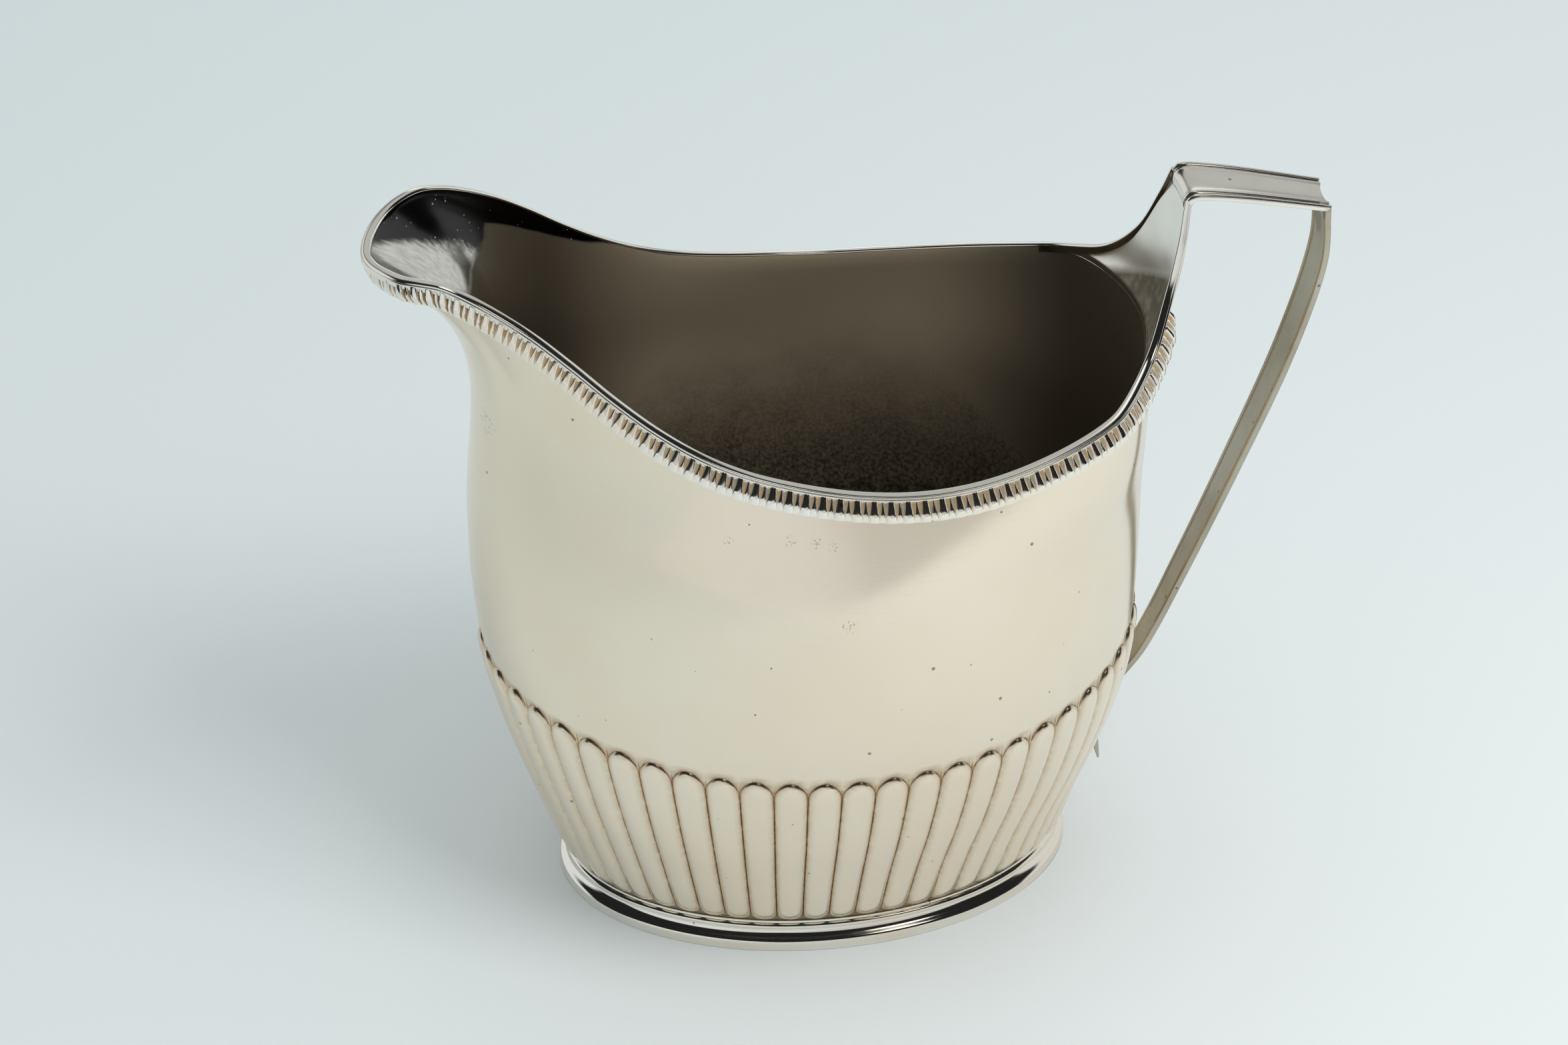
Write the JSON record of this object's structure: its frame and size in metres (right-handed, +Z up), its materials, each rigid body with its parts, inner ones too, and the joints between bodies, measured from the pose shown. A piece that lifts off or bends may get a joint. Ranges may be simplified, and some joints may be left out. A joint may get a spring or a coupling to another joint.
{
  "type": "milk jug",
  "caption": "Oval silver-plated milk jug with a lobed lower body, broad rising lip, gadroon border under a rim wire, angular strap handle and moulded foot.",
  "frame": {"origin": "on the surface that the foot stands on, under the middle of the overall length and width", "axes": "-X points the way the lip pours, +X to the handle, Y across the jug, +Z up"},
  "size_m": [0.1338, 0.074, 0.1094],
  "materials": {
    "body": "polished",
    "foot": "polished",
    "rim": "polished",
    "border": "polished",
    "handle": "polished"
  },
  "bodies": {
    "root": {"body_shell": "body", "foot_ring": "foot", "rim_wire": "rim", "gadroon_border_left": "border", "gadroon_border_right": "border", "handle_root": "handle", "handle_top_bar": "handle", "handle_back_strap": "handle"}
  },
  "joints": []
}
